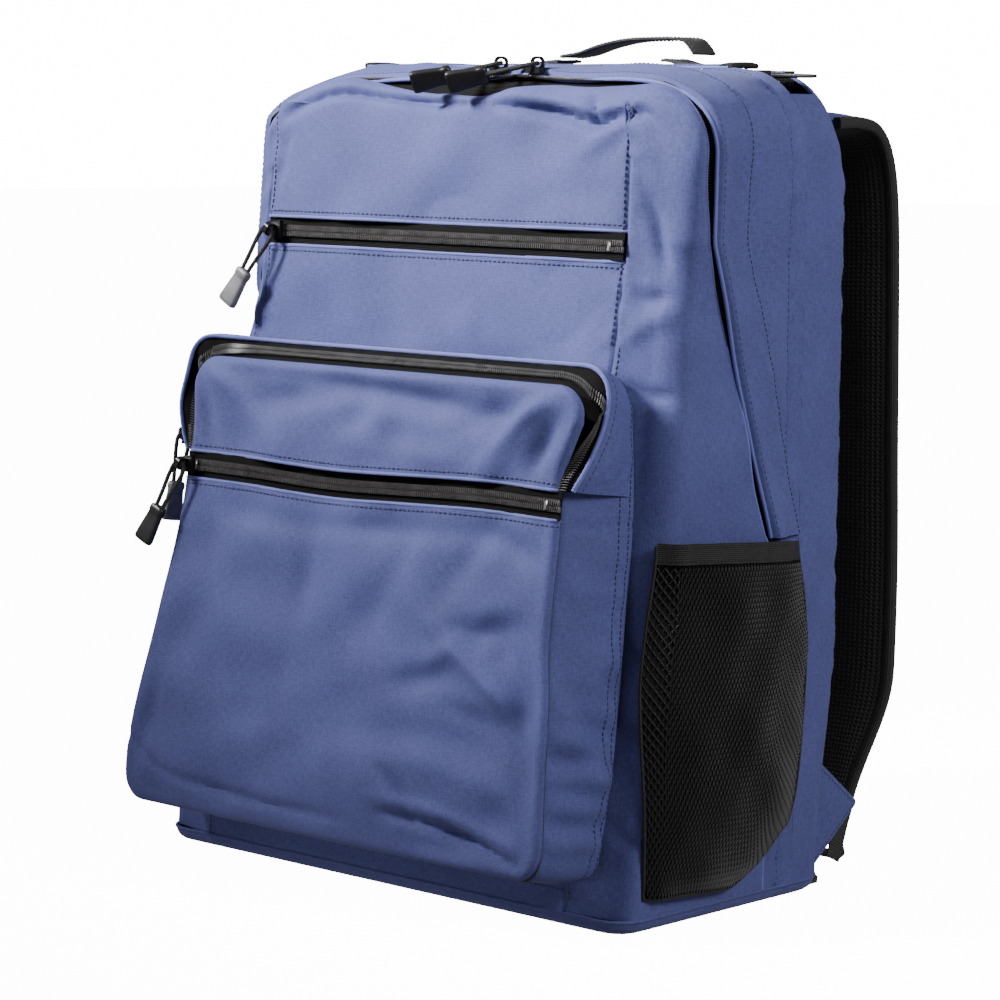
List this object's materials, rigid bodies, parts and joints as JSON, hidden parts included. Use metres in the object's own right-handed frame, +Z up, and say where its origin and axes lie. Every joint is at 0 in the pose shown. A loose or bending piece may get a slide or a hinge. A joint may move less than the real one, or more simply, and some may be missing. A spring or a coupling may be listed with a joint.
{
  "type": "trauma backpack",
  "caption": "Soft two-compartment backpack with a fold-down front, boxed and slash pockets, side mesh pockets, zippers with cord pulls, carry handle and shoulder straps.",
  "frame": {"origin": "centre of the base on the floor", "axes": "+Z up, the front faces -Y, the back panel and straps face +Y, +X is the wearer's right side"},
  "size_m": [0.3926, 0.2936, 0.4892],
  "materials": {
    "blue_fabric": "woven polyester, matt",
    "lining_fabric": "thin woven lining, matt",
    "stiff_plastic": "smooth sheet",
    "air_mesh": "spacer mesh, matt",
    "pocket_mesh": "open knitted mesh",
    "black_webbing": "ribbed webbing",
    "zipper_black": "nylon coil on woven tape",
    "black_plastic": "moulded, fine texture",
    "slider_metal": "black enamel",
    "pull_cord": "braided cord",
    "grip_grey": "moulded, satin",
    "grip_black": "moulded, satin"
  },
  "bodies": {
    "pack": {"main_gusset": "blue_fabric", "rear_gusset": "blue_fabric", "lower_front_panel": "blue_fabric", "lower_gusset_left": "blue_fabric", "lower_gusset_right": "blue_fabric", "base_panel": "blue_fabric", "base_board": "stiff_plastic", "divider_panel": "lining_fabric", "back_panel": "blue_fabric", "frame_sheet": "stiff_plastic", "back_pad_left": "air_mesh", "back_pad_right": "air_mesh", "lumbar_pad": "air_mesh", "strap_yoke": "blue_fabric", "handle_end_left": "black_webbing", "handle_end_right": "black_webbing", "strap_wing_left": "blue_fabric", "lower_webbing_left": "black_webbing", "strap_wing_right": "blue_fabric", "lower_webbing_right": "black_webbing", "mesh_pocket_left": "pocket_mesh", "mesh_binding_left": "black_webbing", "mesh_pocket_right": "pocket_mesh", "mesh_binding_right": "black_webbing", "slash_zip_chain": "zipper_black", "main_zip_chain": "zipper_black", "storm_flap": "blue_fabric", "rear_zip_chain": "zipper_black", "pocket_gusset": "blue_fabric", "pocket_front_panel": "blue_fabric", "pocket_zip_chain": "zipper_black"},
    "front_flap": {"upper_front_panel": "blue_fabric", "upper_front_gusset": "blue_fabric", "upper_zip_chain": "zipper_black", "upper_pocket_lining": "lining_fabric", "flap_zip_chain": "zipper_black"},
    "pocket_flap": {"pocket_flap_panel": "blue_fabric"},
    "rear_cover": {"rear_zip_flap": "blue_fabric"},
    "handle": {"carry_handle": "black_webbing"},
    "strap_left": {"shoulder_strap_left": "blue_fabric"},
    "lock_left": {"ladder_lock_left": "black_plastic"},
    "strap_right": {"shoulder_strap_right": "blue_fabric"},
    "lock_right": {"ladder_lock_right": "black_plastic"},
    "upper_slider": {"upper_slider": "slider_metal"},
    "upper_pull": {"upper_cord": "pull_cord", "upper_grip": "grip_grey"},
    "slash_slider": {"slash_slider": "slider_metal"},
    "slash_pull": {"slash_cord": "pull_cord", "slash_grip": "grip_black"},
    "pocket_slider": {"pocket_slider": "slider_metal"},
    "pocket_pull": {"pocket_cord": "pull_cord", "pocket_grip": "grip_grey"},
    "main_left_slider": {"main_left_slider": "slider_metal"},
    "main_left_pull": {"main_left_cord": "pull_cord", "main_left_grip": "grip_black"},
    "main_right_slider": {"main_right_slider": "slider_metal"},
    "main_right_pull": {"main_right_cord": "pull_cord", "main_right_grip": "grip_black"},
    "rear_slider": {"rear_slider": "slider_metal"},
    "rear_pull": {"rear_pull": "black_plastic"}
  },
  "joints": [
    {"name": "flap_fold", "type": "hinge", "parent": "pack", "child": "front_flap", "pos_m": [0, -0.04611, 0.31775], "axis": [1, 0, 0], "range_deg": [0, 75]},
    {"name": "pocket_flap_fold", "type": "hinge", "parent": "pack", "child": "pocket_flap", "pos_m": [0, -0.09741, 0.24229], "axis": [1, 0, 0], "range_deg": [0, 85]},
    {"name": "rear_cover_lift", "type": "hinge", "parent": "pack", "child": "rear_cover", "pos_m": [0, 0.087, 0.4719], "axis": [-1, 0, 0], "range_deg": [0, 80]},
    {"name": "handle_flop", "type": "hinge", "parent": "pack", "child": "handle", "pos_m": [0.03, 0.099, 0.474], "axis": [-1, 0, 0], "range_deg": [-25, 25]},
    {"name": "strap_swing_left", "type": "hinge", "parent": "pack", "child": "strap_left", "pos_m": [-0.14, 0.1094, 0.447], "axis": [1, 0, 0], "range_deg": [0, 12]},
    {"name": "lock_tilt_left", "type": "hinge", "parent": "strap_left", "child": "lock_left", "pos_m": [-0.1498, 0.13402, 0.02705], "axis": [1, 0, 0], "range_deg": [0, 35]},
    {"name": "strap_swing_right", "type": "hinge", "parent": "pack", "child": "strap_right", "pos_m": [0.14, 0.1094, 0.447], "axis": [1, 0, 0], "range_deg": [0, 12]},
    {"name": "lock_tilt_right", "type": "hinge", "parent": "strap_right", "child": "lock_right", "pos_m": [0.1498, 0.13402, 0.02705], "axis": [1, 0, 0], "range_deg": [0, 35]},
    {"name": "upper_slide", "type": "slide", "parent": "front_flap", "child": "upper_slider", "axis": [1, 0, 0], "range_m": [0, 0.26]},
    {"name": "upper_pull_swing", "type": "hinge", "parent": "upper_slider", "child": "upper_pull", "pos_m": [-0.132, -0.04685, 0.37323], "axis": [-0.8829, 0.0556, 0.4662], "range_deg": [0, 80]},
    {"name": "slash_slide", "type": "slide", "parent": "pack", "child": "slash_slider", "axis": [1, 0, 0], "range_m": [0, 0.285]},
    {"name": "slash_pull_swing", "type": "hinge", "parent": "slash_slider", "child": "slash_pull", "pos_m": [-0.145, -0.1056, 0.23521], "axis": [-0.9205, 0.0463, 0.388], "range_deg": [0, 80]},
    {"name": "pocket_slide", "type": "slide", "parent": "pack", "child": "pocket_slider", "axis": [0.0444, 0.1183, 0.992], "range_m": [0, 0.022]},
    {"name": "pocket_pull_swing", "type": "hinge", "parent": "pocket_slider", "child": "pocket_pull", "pos_m": [-0.16774, -0.08241, 0.24983], "axis": [0, 0.993, -0.1184], "range_deg": [0, 80]},
    {"name": "main_left_slide", "type": "slide", "parent": "front_flap", "child": "main_left_slider", "axis": [-1, 0, 0], "range_m": [0, 0.1]},
    {"name": "main_left_pull_swing", "type": "hinge", "parent": "main_left_slider", "child": "main_left_pull", "pos_m": [0.026, -0.015, 0.4721], "axis": [-0.5592, 0.829, 0], "range_deg": [0, 70]},
    {"name": "main_right_slide", "type": "slide", "parent": "front_flap", "child": "main_right_slider", "axis": [1, 0, 0], "range_m": [0, 0.075]},
    {"name": "main_right_pull_swing", "type": "hinge", "parent": "main_right_slider", "child": "main_right_pull", "pos_m": [0.054, -0.015, 0.4721], "axis": [-0.5592, 0.829, 0], "range_deg": [0, 70]},
    {"name": "rear_slide", "type": "slide", "parent": "pack", "child": "rear_slider", "axis": [-1, 0, 0], "range_m": [0, 0.25]},
    {"name": "rear_pull_swing", "type": "hinge", "parent": "rear_slider", "child": "rear_pull", "pos_m": [0.134, 0.076, 0.4668], "axis": [0, -1, 0], "range_deg": [0, 70]}
  ]
}
